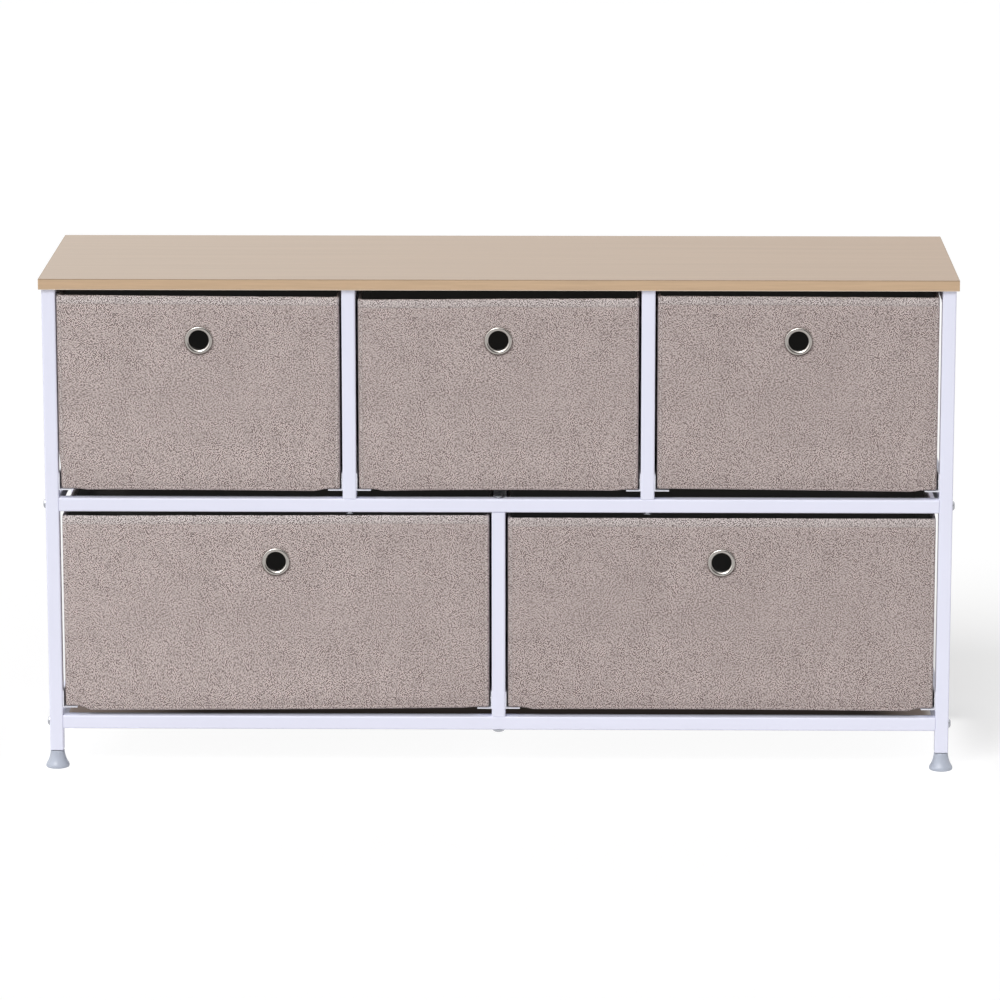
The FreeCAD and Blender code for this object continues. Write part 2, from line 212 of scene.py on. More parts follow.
# %% Node graphs
class Graph:
    """The nodes of a material or of the world."""

    def __init__(self, owner):
        owner.use_nodes = True
        self.owner = owner
        self.tree = owner.node_tree

    def node(self, kind, inputs=None, output=0, **settings):
        """Adds a node: its settings first, then the values or links of its sockets."""
        node = self.tree.nodes.new("ShaderNode" + kind)
        for name, value in settings.items():
            setattr(node, name, value)
        for socket, value in (inputs or {}).items():
            self.plug(node.inputs[socket], value)
        return Wire(self, node.outputs[output])

    def plug(self, socket, value):
        """Links a wire to a socket, or sets a plain value on it."""
        if isinstance(value, Wire):
            self.tree.links.new(value.socket, socket)
        elif isinstance(value, tuple):
            socket.default_value = value[:len(socket.default_value)]
        else:
            socket.default_value = value

    def set(self, kind, **inputs):
        """Sets sockets of a node that is already there. In their names, a _ stands for a space."""
        node = next(node for node in self.tree.nodes if node.type == kind)
        for socket, value in inputs.items():
            self.plug(node.inputs[socket.replace("_", " ")], value)

    def place(self, output="Object"):
        """Coordinates on the piece: its place in metres, or its UV map."""
        return self.node("TexCoord", output=output)

    def axis(self, vector, name):
        """One part of a vector: X, Y or Z."""
        return self.node("SeparateXYZ", {0: vector}, output=name)

    def stored(self, name, output="Fac"):
        """A value or vector that is stored on the points of the mesh."""
        return self.node("Attribute", output=output, attribute_name=name)

    def ray(self, kind):
        """1 where the light path is of this kind, and 0 elsewhere."""
        return self.node("LightPath", output="Is " + kind + " Ray")

    def ramp(self, value, start, end, curve="SMOOTHSTEP"):
        """0 at the start, 1 at the end, and a smooth curve between them."""
        return self.node("MapRange", {0: value, 1: start, 2: end}, interpolation_type=curve)

    def stretched(self, vector, x, y, z):
        return self.node("VectorMath", {0: vector, 1: (x, y, z)}, operation="MULTIPLY")

    def noise(self, vector, scale, detail=2, roughness=0.5):
        inputs = {"Vector": vector, "Scale": scale, "Detail": detail, "Roughness": roughness}
        return self.node("TexNoise", inputs)

    def mix(self, factor, first, second):
        return self.node("Mix", {0: factor, 6: first, 7: second}, output=2, data_type="RGBA")

    def shaded(self, colour, value):
        """A colour made lighter or darker by a value round 1."""
        return self.node("VectorMath", {0: colour, "Scale": value}, operation="SCALE")

    def bump(self, height, depth, strength=1.0):
        """A normal from a height of 0 to 1, which stands for this depth in metres."""
        return self.node("Bump", {"Height": height, "Strength": strength, "Distance": depth})

    def surface(self, tint, tone, height, depth, strength=1.0, **more):
        """Gives the Principled shader a shaded colour, a bump, and more sockets by name."""
        look = {"Base_Color": self.shaded(tint, tone), "Normal": self.bump(height, depth, strength)}
        self.set("BSDF_PRINCIPLED", **look, **more)
        return self


print("a Graph can make", ", ".join(name for name in vars(Graph) if not name.startswith("_")))


# %% Materials and colours
def finish(name, **constants):
    """A new material whose Principled shader has these plain values."""
    graph = Graph(bpy.data.materials.new(name))
    graph.set("BSDF_PRINCIPLED", **constants)
    return graph


def colour(red, green, blue):
    """A colour as it is read off a screen, 0 to 255, as the linear values that shaders use."""
    parts = [value / 255 for value in (red, green, blue)]
    linear = [((part + 0.055) / 1.055) ** 2.4 for part in parts]
    return (*linear, 1)


def dress(node, graph):
    """Gives a CAD node a finish, through its object's material slots."""
    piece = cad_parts[node]
    for slot in piece.material_slots:
        slot.link = "OBJECT"
        slot.material = graph.owner


print("a grey of 128 on screen is", round(colour(128, 128, 128)[0], 3), "in linear light")

# %% [markdown]
# ## The camera and the room
# The camera is far off with a long lens, a little above and to the right of the middle, so that
# upright lines stay nearly upright. A broad, soft sun from the front left models the tubes, and a
# pale sky fills the shadows.
# The camera sees the sky as plain white. Polished metal that mirrors nothing but white looks like
# white plastic, so mirror rays find a dim room behind the camera and a bright ceiling on the left.

# %% Camera
camera_place = Vector((0.0815, -5.5, 1.4623))
camera_down = math.radians(12.196)
camera_turn = math.radians(0.854)
camera_roll = math.radians(-0.034)

camera = added(bpy.ops.object.camera_add)
turn = Matrix.Rotation(camera_turn, 4, "Z") @ Matrix.Rotation(math.pi / 2 - camera_down, 4, "X")
camera.matrix_world = Matrix.Translation(camera_place) @ turn @ Matrix.Rotation(camera_roll, 4, "Z")
camera.data.sensor_width = 36
camera.data.lens = 180.1
camera.data.clip_end = 100
bpy.context.scene.camera = camera
bpy.context.scene.view_settings.view_transform = "Standard"
print("the camera is", round(camera_place.length, 2), "m away")

# %% Light
key = added(bpy.ops.object.light_add, type="SUN", rotation=(math.radians(42), 0, math.radians(-27)))
key.name = "key_light"
key.data.energy = 2.0
key.data.angle = math.radians(32)

sky = Graph(bpy.data.worlds.new("sky"))
bpy.context.scene.world = sky.owner
camera_ray = sky.ray("Camera")
through_ray = sky.ray("Transmission")
mirror_ray = sky.ray("Glossy")
way = sky.place("Generated")
forward = sky.axis(way, "Y")
upward = sky.axis(way, "Z")
sideways = sky.axis(way, "X")
SKY_LIGHT = 0.42
DIM_ROOM = 0.16
room = sky.ramp(forward, -0.85, -0.1)
ceiling = sky.ramp(0.8 * upward - 0.5 * sideways, 0.3, 0.6)
mirrored = DIM_ROOM + (1 - DIM_ROOM) * (1 - (1 - room) * (1 - ceiling)) + 1.2 * ceiling
white = (1 - SKY_LIGHT) * (camera_ray + through_ray)
strength = SKY_LIGHT + white + (mirrored - SKY_LIGHT) * mirror_ray
sky.set("BACKGROUND", Color=(1, 1, 1, 1), Strength=strength)
print("a sun of", key.data.energy, "and a sky of", SKY_LIGHT)

# %% [markdown]
# ## The floor
# The floor is a large white plane. It lights the dresser from below as a pale, matt floor would.
# What the camera sees of it is part matt, so that the dresser's shadow stays, and part plain
# white. Two soft patches are painted on it: painted light in front of and under the dresser
# keeps the shadow faint there, and a painted shadow deep under the back is dark where it shows
# through the gaps.

# %% Floor
floor = added(bpy.ops.mesh.primitive_plane_add, size=40)
floor.name = "floor"

ground = Graph(bpy.data.materials.new("white_floor"))
seen = ground.ray("Camera") + ground.ray("Glossy") + ground.ray("Transmission")
place = ground.place()
across = ground.axis(place, "X")
depth = ground.axis(place, "Y")


def patch(left, right, front, back):
    """1 inside a patch with soft sides. For each side: where it starts, and where it is full."""
    sides = ground.ramp(across, *left) * ground.ramp(across, *right)
    return sides * ground.ramp(depth, *front) * ground.ramp(depth, *back)


def shown_floor(tint, lit, glow):
    """A floor that the lamps light in part, and that shows a glow of its own besides."""
    matt = ground.node("BsdfDiffuse", {"Color": ground.shaded(tint, lit)})
    plain = ground.node("Emission", {"Color": tint, "Strength": glow})
    return ground.node("AddShader", {0: matt, 1: plain})


# Painted light: more glow and less shade in front of and under the dresser, so its shadow stays faint there
below = patch((-0.56, -0.49), (0.56, 0.49), (-0.42, -0.22), (0.1, 0.06))
# Painted shadow: a dark, brownish patch deep under the back of the dresser, darkest in the middle
painted_floor_shadow = patch((-0.528, -0.495), (0.514, 0.485), (0.02, 0.095), (0.21, 0.125))
middle = ground.ramp(across, -0.5, -0.33) * ground.ramp(across, 0.5, 0.42)
matt = ground.node("BsdfDiffuse", {"Color": (0.93, 0.93, 0.93, 1)})
shown = ground.node("MixShader", {
    0: painted_floor_shadow,
    1: shown_floor((1, 1, 1, 1), 0.5 - 0.28 * below, 0.56 + 0.38 * below),
    2: shown_floor((1, 0.8, 0.7, 1), 0.06, 0.14 - 0.128 * middle),
})
ground.set("OUTPUT_MATERIAL", Surface=ground.node("MixShader", {0: seen, 1: matt, 2: shown}))
floor.data.materials.append(ground.owner)
print("the floor has", len(ground.tree.nodes), "nodes")

# %% [markdown]
# ## Powder coat
# The tubes are sprayed with a cool white powder that melts into a film. The film is smooth but
# never flat: it has a faint orange peel about a millimetre across, and it is a little thinner
# and duller in places. A fine noise makes the peel and a broad one the change in sheen.

# %% Powder coat on the tubes and paint on the runners
def coat(name, tint, peel_depth, sheen):
    graph = finish(name, IOR=1.5)
    place = graph.place()
    broad = graph.noise(place, 9, 3)
    peel = graph.noise(place, 850, 2)
    return graph.surface(tint, 0.965 + 0.07 * broad, peel, peel_depth, Roughness=sheen + 0.12 * broad)


powder_coat = coat("powder_coat", colour(229, 230, 246), 0.00003, 0.32)
runner_paint = coat("runner_paint", colour(226, 227, 236), 0.00001, 0.36)
print("made", powder_coat.owner.name, "and", runner_paint.owner.name)

# %% [markdown]
# ## Oak look top
# The board is faced with a printed paper in a pale oak, sealed with a satin film. Its grain runs
# along the width. Long, thin noise gives the growth lines, and short dashes give the pores. The
# tone drifts a little from one end to the other, lighter at the left where the key light falls:
# painted light. The edge is a separate band in a warmer tone,
# with a dark glue line at the top and a worn, pale corner along the bottom.

# %% Oak laminate
def grain(graph, place, length, width):
    """Long streaks along X."""
    return graph.noise(graph.stretched(place, 1 / length, 1 / width, 1 / width), 1, 4, 0.6)


def oak_top():
    graph = finish("oak_laminate", IOR=1.5, Specular_IOR_Level=0.2)
    place = graph.place()
    bend = graph.noise(graph.stretched(place, 2.2, 9, 9), 1, 2)
    shift = graph.node("CombineXYZ", {"Y": (bend - 0.5) * 0.02})
    bent = graph.node("VectorMath", {0: place, 1: shift}, operation="ADD")
    rings = grain(graph, bent, 0.5, 0.011)
    fine = grain(graph, bent, 0.09, 0.0016)
    pores = grain(graph, bent, 0.016, 0.0006) > 0.66
    tone = 0.88 + 0.15 * rings + 0.1 * fine - 0.05 * pores
    # Painted light: the top is lighter at its left end, where the key light falls
    painted_falloff = graph.ramp(graph.axis(place, "X"), -0.5, 0.5, "LINEAR")
    pale = graph.mix(painted_falloff, colour(193, 175, 158), colour(185, 164, 145))
    warm = graph.mix(rings, graph.shaded(pale, 0.96), graph.shaded(pale, 1.03))
    return graph.surface(warm, tone, fine - 0.5 * pores, 0.00004, Roughness=0.42 + 0.1 * fine)


oak_laminate = oak_top()
print("made", oak_laminate.owner.name)


# %% Edge band
def oak_edge():
    graph = finish("oak_edge_band", IOR=1.5)
    place = graph.place()
    height = graph.axis(place, "Z")
    streaks = grain(graph, place, 0.06, 0.0022)
    fine = grain(graph, place, 0.02, 0.0007)
    low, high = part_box("edge_band")
    glue = height > high.z - 0.9 * MM
    worn = height < low.z + 0.8 * MM
    tone = 0.8 + 0.3 * streaks + 0.12 * fine - 0.4 * glue
    warm = graph.mix(worn, colour(194, 165, 134), colour(212, 196, 178))
    return graph.surface(warm, tone, streaks, 0.00003, Roughness=0.45 + 0.1 * streaks)


oak_band = oak_edge()
print("made", oak_band.owner.name)

# %% [markdown]
# ## Metals and plastics
# The bolts are zinc plated, the eyelets are nickel plated, the plugs in the tubes are black
# moulded plastic and the feet are a cloudy pale plastic. Each has a faint, broad change of tone
# and a fine texture: plating dulls in patches, and moulded plastic has a soft, uneven skin.

# %% Metals and plastics
def plating(name, tint, sheen, grit, metallic=1.0):
    graph = finish(name, Metallic=metallic)
    place = graph.place()
    patches = graph.noise(place, 160, 3)
    scuffs = graph.noise(place, 1400, 2)
    return graph.surface(tint, 0.9 + 0.18 * patches, scuffs, 0.00001, Roughness=sheen + grit * scuffs)


def moulded(name, tint, cloud, sheen):
    graph = finish(name, IOR=1.49)
    place = graph.place()
    clouds = graph.noise(place, 120, 3)
    skin = graph.noise(place, 1800, 2)
    tone = 1 - cloud / 2 + cloud * clouds
    return graph.surface(tint, tone, skin, 0.00002, Roughness=sheen + 0.15 * clouds)


zinc = plating("zinc_plate", colour(174, 176, 181), 0.2, 0.12, 0.95)
nickel = plating("nickel_plate", colour(172, 167, 162), 0.14, 0.1)
black_plastic = moulded("black_plastic", colour(48, 48, 50), 0.2, 0.4)
cloudy_plastic = moulded("cloudy_plastic", colour(179, 185, 198), 0.12, 0.28)
print("made", ", ".join(graph.owner.name for graph in (zinc, nickel, black_plastic, cloudy_plastic)))

# %% [markdown]
# ## Fabric
# The bins are sewn from a plain weave in mixed warm grey yarns, about one yarn to the
# millimetre. Seen from a step back it is an even speckle. The pattern follows the cloth through
# its UV map, which is in metres. It is a grid, and each square is one yarn on top of another,
# domed, with a shade of its own; the crown of each dome is a little lighter, a painted highlight.
# A pale yarn that stands proud would shade its neighbours, so part of their shade is taken off as
# painted shade. The grid wanders a little, and broad clouds keep a large front from looking
# printed.
# The inside is lined with a dark, pressed cloth that was never woven. It glows faintly: painted
# light that stands in for what little light bounces about inside a closed bin.

# %% Woven fabric
YARN = 1.05 * MM  # from one yarn of the weave to the next


def yarn_shade(graph, column, row):
    """A random shade for each square of the weave."""
    square = graph.node("CombineXYZ", {"X": column, "Y": row, "Z": 1.5})
    return graph.node("TexWhiteNoise", {"Vector": square}, noise_dimensions="3D")


def painted_eyelet_shade(graph):
    """Painted shade round the eyelet: a ring where the cloth dips under the flange, darkest below it, where
    the flange's shadow falls.
    """
    off_eyelet = graph.stored("off_eyelet", "Vector")
    distance = graph.node("VectorMath", {0: off_eyelet}, output="Value", operation="LENGTH")
    # The ring and its darker lower part are painted shade and shadow
    pressed = graph.ramp(distance, 17.6 * MM, 15.3 * MM, "LINEAR")
    shaded = graph.ramp(graph.axis(off_eyelet, "Z"), 6 * MM, -8 * MM, "LINEAR")
    return 1 - pressed * (0.12 + 0.6 * shaded)


def bin_weave():
    graph = finish("greige_weave", Roughness=0.92, Specular_IOR_Level=0.15, Sheen_Weight=0.1)
    flat = graph.place("UV")
    wander = 0.6 * graph.noise(flat, 60, 1)
    x = graph.axis(flat, "X") / YARN + wander
    y = graph.axis(flat, "Y") / YARN + wander
    column, row = x.floor(), y.floor()
    yarn = yarn_shade(graph, column, row)
    beside = yarn_shade(graph, column - 1, row) + yarn_shade(graph, column + 1, row)
    above = yarn_shade(graph, column, row - 1) + yarn_shade(graph, column, row + 1)
    # Painted shade: each yarn is darkened by its pale neighbours, as if they shaded it
    relief = yarn**0.7 - 0.14 * (beside + above)
    side_x, side_y = 2 * (x - column) - 1, 2 * (y - row) - 1
    dome = (1 - side_x * side_x) * (1 - side_y * side_y)
    clouds = graph.noise(flat, 25, 3)
    # The dome term is a painted highlight on the crown of each yarn
    weave = 0.25 + 1.7 * relief + 0.12 * dome + 0.24 * clouds
    # Painted shade: the seams' grooves and the cloth round the eyelet are darkened
    # The stored tone of each bin is partly painted light, lighter to the left, where the key light falls
    tone = weave * (1 - 0.18 * graph.stored("groove")) * painted_eyelet_shade(graph) * graph.stored("batch")
    # The hem is a paler tone, and the paler strip along each upright edge is painted sheen
    light = graph.mix(graph.stored("hem"), colour(175, 164, 161), colour(188, 180, 178))
    graph.set(
        "BSDF_PRINCIPLED",
        Base_Color=graph.mix(0.5 * tone, (0.03, 0.004, 0.002, 1), graph.shaded(light, 2)),
        Normal=graph.bump(dome * (0.7 + 0.3 * yarn), 0.00022, 0.8),
    )
    return graph


fabric = bin_weave()
print("made", fabric.owner.name, "of", len(fabric.tree.nodes), "nodes")

# %% Pressed lining and thread
# The lining's glow is painted light, in place of the light that bounces about inside a closed bin
PAINTED_BOUNCE_GLOW = 0.007  # what little light bounces about inside a closed bin
POINTS = 1.6 * MM  # from one embossed point of the lining to the next


def non_woven(name, tint):
    """Pressed fibres with a grid of small embossed points, and a faint glow of painted bounce light."""
    graph = finish(name, Roughness=0.95, Emission_Strength=PAINTED_BOUNCE_GLOW, Specular_IOR_Level=0.1)
    flat = graph.place("UV")
    x = graph.axis(flat, "X") / POINTS
    y = graph.axis(flat, "Y") / POINTS
    side_x, side_y = (x + y) % 1 * 2 - 1, (x - y) % 1 * 2 - 1
    point = (side_x * side_x + side_y * side_y) < 0.3
    fibres = graph.noise(flat, 900, 3, 0.7)
    tone = 0.75 + 0.5 * fibres - 0.15 * point
    # The glow's colour follows the tone: painted bounce light
    glow = graph.shaded((1, 0.97, 0.93, 1), tone)
    return graph.surface(tint, tone, fibres - 0.6 * point, 0.00015, 0.7, Emission_Color=glow)


def sewing_thread():
    graph = finish("sewing_thread", Roughness=0.7)
    twist = graph.noise(graph.place(), 900, 2)
    return graph.surface(colour(186, 173, 168), 0.85 + 0.3 * twist, twist, 0.0001)


lining_cloth = non_woven("charcoal_lining", colour(112, 109, 106))
thread = sewing_thread()
print("made", lining_cloth.owner.name, "and", thread.owner.name)

# %% Dress the CAD nodes
FINISHES = {
    "top_board": oak_laminate,
    "edge_band": oak_band,
    "board_screws": zinc,
    "side_frame": powder_coat,
    "upper_divider": powder_coat,
    "lower_divider": powder_coat,
    "middle_rail": powder_coat,
    "bottom_rail": powder_coat,
    "leg_bolts": zinc,
    "divider_screws": zinc,
    "tube_plugs": black_plastic,
    "runner_rivets": zinc,
    "runner_": runner_paint,
    "foot_": cloudy_plastic,
    "eyelet": nickel,
}
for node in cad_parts:
    for start, graph in FINISHES.items():
        if node.startswith(start):
            dress(node, graph)
            break
print("dressed the CAD nodes")

# %% [markdown]
# ## The bins
# A bin is a sewn bag over stiff boards. The cloth is one thin skin with rounded corners, a hem
# along the rim that is turned in over the boards, and seams down the corners, each with a
# narrow groove where the thread pulls it in. One bin of each size is modelled, in the
# middle of the X axis, and copied to its bays.

# %% Sizes of the bins
CORNER = 3 * MM  # how round the corners are
WALL = 3.1 * MM  # the cloth with its boards
HEM = 9.5 * MM  # how deep the rim is turned in
SEAM = 5 * MM  # from a corner to the seam beside it
GROOVE = 0.5 * MM  # how deep the thread pulls the cloth in
GROOVE_WIDTH = 0.8 * MM
EYELET_DROP = 50 * MM  # from the rim to the eyelet's middle
BARREL = 11.5 * MM  # radius of the hole for the eyelet
RUNNER = 14 * MM  # from a bin's side to where its bottom is clear of the runner
CELL, ROW = 14 * MM, 12 * MM  # width and height of the faces of the cloth's mesh
NEAR = 0.05 * MM  # closer than this counts as on a line or a plane

BINS = {
    "upper": ("upper_left", "upper_middle", "upper_right"),
    "lower": ("lower_left", "lower_right"),
}


def bin_box(name):
    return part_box("bin_shell_" + name)


def bin_middle(name):
    low, high = bin_box(name)
    return (low.x + high.x) / 2


def eyelet_middle(low, high):
    return Vector(((low.x + high.x) / 2, low.y, high.z - EYELET_DROP))


def grid(start, end, step):
    """Evenly spaced places between two ends, without the ends."""
    count = round((end - start) / step)
    return [start + (end - start) * index / count for index in range(1, count)]


def seam_cuts(middle):
    return [middle - GROOVE_WIDTH, middle, middle + GROOVE_WIDTH]


def sag_cuts(low, high):
    """Where the bottom edge starts to sag beside each runner, and where it has sagged."""
    return [end for step in (RUNNER, 2 * RUNNER) for end in (low.x + step, high.x - step)]


for level, names in BINS.items():
    low, high = bin_box(names[0])
    print(level, "bins are", [round(side / MM) for side in high - low], "mm")


# %% Where the seams and the doubled cloth are
def on_groove(co, low, high):
    """True on the middle line of a groove, of an open box between these corners."""
    on_hem = abs(co.z - (high.z - HEM)) < NEAR
    on_foot = abs(co.z - (low.z + SEAM)) < NEAR
    on_side = min(abs(co.x - low.x - SEAM), abs(high.x - SEAM - co.x)) < NEAR
    on_flank = min(abs(co.y - low.y - SEAM), abs(high.y - SEAM - co.y)) < NEAR
    faces_y = min(co.y - low.y, high.y - co.y) < NEAR
    faces_x = min(co.x - low.x, high.x - co.x) < NEAR
    low_seam = on_foot and (faces_x or faces_y)
    return on_hem or low_seam or (on_side and faces_y) or (on_flank and faces_x)


def doubled(co, low, high):
    """How pale the cloth is made: 1 on the hem, which is turned in, and less along the upright edges, as
    painted sheen where the rounded edge catches the light.
    """
    from_sides = min(co.x - low.x, high.x - co.x), min(co.y - low.y, high.y - co.y)
    if co.z > high.z - HEM - 2 * NEAR:
        return 1.0
    beside_corner = min(from_sides) < NEAR and max(from_sides) < SEAM - GROOVE_WIDTH / 2
    return 0.45 if beside_corner else 0.0


low, high = bin_box("upper_left")
print("at the rim the cloth is doubled:", doubled(high, low, high))


# %% The skin of a bin
def open_top():
    """In edit mode, takes the top off a box."""
    pick("FACE", lambda face: face.normal.z > 0.9)
    bpy.ops.mesh.delete(type="FACE")


def unwrap():
    """In edit mode, gives the mesh a UV map in metres, laid out as the sides of a box."""
    bpy.ops.mesh.select_all(action="SELECT")
    bpy.ops.uv.cube_project(cube_size=1.0, correct_aspect=False)


def skin(name, low, high):
    """An open box of cloth with rounded edges, cut into faces that can settle, and given its wall."""
    piece = block(name, low, high)
    with editing(piece):
        open_top()
        pick("EDGE", lambda edge: not all(vertex.co.z > high.z - MM for vertex in edge.verts))
        bpy.ops.mesh.bevel(offset=CORNER, segments=4, affect="EDGES")
        slice_across(0, sag_cuts(low, high))
        for axis in (0, 1):
            start, end = low[axis] + SEAM, high[axis] - SEAM
            slice_across(axis, seam_cuts(start) + grid(start, end, CELL) + seam_cuts(end))
        start, end = low.z + SEAM, high.z - HEM
        slice_across(2, seam_cuts(start) + grid(start, end, ROW) + seam_cuts(end))
        unwrap()
    centre_line = [on_groove(vertex.co, low, high) for vertex in piece.data.vertices]
    # The grooves' centre lines are stored for the finish, which darkens them as painted shade in the seams
    store(piece, "groove", [float(on) for on in centre_line])
    # The hem share makes the hem paler and paints sheen along the upright edges
    store(piece, "hem", [doubled(vertex.co, low, high) for vertex in piece.data.vertices])
    modify(piece, "SOLIDIFY", thickness=WALL, offset=-1, use_even_offset=True)
    with editing(piece):
        pick("VERT", lambda vertex: vertex.index < len(centre_line) and centre_line[vertex.index])
        bpy.ops.transform.shrink_fatten(value=-GROOVE)
        pick("EDGE", lambda edge: is_rim_edge(edge, high.z))
        bpy.ops.mesh.bevel(offset=1.2 * MM, segments=3, affect="EDGES")
    for face in piece.data.polygons:
        underneath = face.normal.z < -0.9 and face.center.z < low.z + MM
        from_side = min(*(face.center - low).xy, *(high - face.center).xy)
        inside = from_side > WALL - MM and face.center.z < high.z - HEM
        face.material_index = int(underneath or inside)
    return piece


def is_rim_edge(edge, top):
    """True on the two sharp lines round the rim's flat top."""
    on_top = all(abs(vertex.co.z - top) < NEAR for vertex in edge.verts)
    steep = [abs(face.normal.z) < 0.5 for face in edge.link_faces]
    return on_top and any(steep) and not all(steep)


print("a front has", len(grid(low.x, high.x, CELL)), "cuts across it")


# %% The hole for the eyelet
def punch(piece, low, high):
    """Cuts the round hole for the eyelet's barrel through the front wall."""
    cutter = added(
        bpy.ops.mesh.primitive_cylinder_add, vertices=64, radius=BARREL, depth=12 * MM,
        location=eyelet_middle(low, high), rotation=(math.pi / 2, 0, 0),
    )
    modify(piece, "BOOLEAN", object=cutter, operation="DIFFERENCE", solver="EXACT")
    bpy.data.objects.remove(cutter)


def note_eyelet(piece, centre):
    """Stores on each point of the front where it is from the eyelet, for the finish."""
    layer = piece.data.attributes.new("off_eyelet", "FLOAT_VECTOR", "POINT")
    for vertex, entry in zip(piece.data.vertices, layer.data):
        offset = vertex.co - centre
        entry.vector = (offset.x, 0 if offset.y < CORNER else 1, offset.z)


print("the hole is", round(2 * BARREL / MM), "mm wide")


# %% The lining and the base board
def lining(name, low, high):
    """A thin open box inside the boards, whose top edge stops 9 mm below the rim, with a cut across 8 mm
    below it.
    """
    inset = WALL + 0.08 * MM
    inner_low = low + Vector((inset, inset, 1.1 * MM))
    inner_high = high - Vector((inset, inset, 9 * MM))
    piece = block(name, inner_low, inner_high)
    with editing(piece):
        open_top()
        slice_across(0, sag_cuts(low, high))
        for axis in (0, 1):
            slice_across(axis, grid(inner_low[axis], inner_high[axis], CELL))
        fold = inner_high.z - 8 * MM
        slice_across(2, grid(inner_low.z, fold, CELL) + [fold])
        unwrap()
    modify(piece, "SOLIDIFY", thickness=0.5 * MM, offset=-1, use_even_offset=True)
    return piece


def base_board(name, low, high):
    """The loose board in the bottom, wrapped in the lining's cloth."""
    inset = 4.8 * MM
    floor_low = low + Vector((inset, inset, 1.75 * MM))
    floor_high = Vector((high.x - inset, high.y - inset, low.z + 4.6 * MM))
    piece = block(name, floor_low, floor_high)
    with editing(piece):
        bpy.ops.mesh.bevel(offset=1 * MM, segments=3, affect="EDGES")
        for axis in (0, 1):
            start, end = floor_low[axis] + 8 * MM, floor_high[axis] - 8 * MM
            slice_across(axis, [start] + grid(start, end, 30 * MM) + [end])
        unwrap()
    return piece


print("the lining lies", round(WALL / MM, 1), "mm inside the cover")

# %% [markdown]
# ## Stitches
# A row of stitches holds the hem, and another runs down each edge of the front and back. One
# stitch is a short, crowned loop of thread that dips into the cloth at both ends. It is repeated
# along a line by an Array modifier, and the lines are joined into one piece for each bin.

# %% One stitch
STITCH_LENGTH = 3.4 * MM
STITCH_PITCH = 4.6 * MM
THREAD = 0.42 * MM


def stitch():
    """One stitch along X at the origin, standing out towards -Y."""
    piece = block("stitch", Vector((-0.5, -0.5, -0.5)) * MM, Vector((0.5, 0.5, 0.5)) * MM)
    with editing(piece):
        bpy.ops.transform.resize(value=(STITCH_LENGTH / MM, THREAD / MM, THREAD / MM))
        slice_across(0, [-STITCH_LENGTH * 0.3, 0, STITCH_LENGTH * 0.3])
        pick("VERT", lambda vertex: abs(vertex.co.x) > STITCH_LENGTH * 0.4)
        bpy.ops.transform.resize(value=(1, 0.5, 0.5), center_override=(0, THREAD, 0))
        pick("VERT", lambda vertex: abs(vertex.co.x) < STITCH_LENGTH * 0.1)
        bpy.ops.transform.translate(value=(0, -0.1 * MM, 0))
    return piece


print("a stitch is", round(STITCH_LENGTH / MM, 1), "mm long")


# %% Rows of stitches
def stitch_row(start, end, outward):
    """Stitches from one point to another, lying on a wall that faces outward."""
    start, end = Vector(start), Vector(end)
    length = (end - start).length
    count = int((length - STITCH_LENGTH) / STITCH_PITCH) + 1
    piece = stitch()
    modify(
        piece, "ARRAY", count=count, use_relative_offset=False, use_constant_offset=True,
        constant_offset_displace=(STITCH_PITCH, 0, 0),
    )
    along = (end - start) / length
    margin = (length - (count - 1) * STITCH_PITCH) / 2
    turn = Matrix((along, -outward, along.cross(-outward))).transposed().to_4x4()
    piece.data.transform(Matrix.Translation(start + along * margin) @ turn)
    return piece


def stitching(name, low, high):
    """The hem's row round all four walls, and a row down each edge of the front and back."""
    sunk = 0.28 * MM
    level = high.z - HEM
    foot = low.z + SEAM + 3 * MM
    rows = []
    for y, outward in ((low.y + sunk, FRONT), (high.y - sunk, BACK)):
        rows.append(stitch_row((low.x + CORNER, y, level), (high.x - CORNER, y, level), outward))
        for x in (low.x + SEAM, high.x - SEAM):
            rows.append(stitch_row((x, y, foot), (x, y, level - 2 * MM), outward))
    for x, outward in ((low.x + sunk, LEFT), (high.x - sunk, RIGHT)):
        rows.append(stitch_row((x, low.y + CORNER, level), (x, high.y - CORNER, level), outward))
    return join(name, rows)


print("stitches are", round(STITCH_PITCH / MM, 1), "mm apart")

# %% [markdown]
# ## Eyelets
# The finger pull is a pressed ring in two halves: a crowned flange in front, whose inner edge
# rolls down through the cloth like a funnel, and a lip rolled over a washer behind. The ring is
# drawn as a circle that is extruded ring by ring along its outline, as on a lathe.

# %% A turned piece
def turned(name, outline, sides=96, caps=False):
    """Sweeps an outline of (radius, height) points, in mm, round Z. Caps fill both ends."""
    radius, height = outline[0]
    piece = added(bpy.ops.mesh.primitive_circle_add, vertices=sides, radius=radius * MM, location=(0, 0, 0))
    piece.name = name
    with editing(piece):
        bpy.ops.transform.translate(value=(0, 0, height * MM))
        if caps:
            bpy.ops.mesh.edge_face_add()
            bpy.ops.mesh.select_all(action="DESELECT")
        for next_radius, next_height in outline[1:]:
            here = height * MM
            pick("EDGE", lambda edge: is_open_ring(edge, radius * MM, here))
            bpy.ops.mesh.extrude_edges_move()
            ratio = next_radius / radius
            bpy.ops.transform.resize(value=(ratio, ratio, 1), center_override=(0, 0, 0))
            bpy.ops.transform.translate(value=(0, 0, (next_height - height) * MM))
            radius, height = next_radius, next_height
        if caps:
            bpy.ops.mesh.edge_face_add()
        else:
            pick("EDGE", lambda edge: edge.is_boundary)
            bpy.ops.mesh.bridge_edge_loops()
        bpy.ops.mesh.select_all(action="SELECT")
        bpy.ops.mesh.normals_make_consistent(inside=False)
    return piece


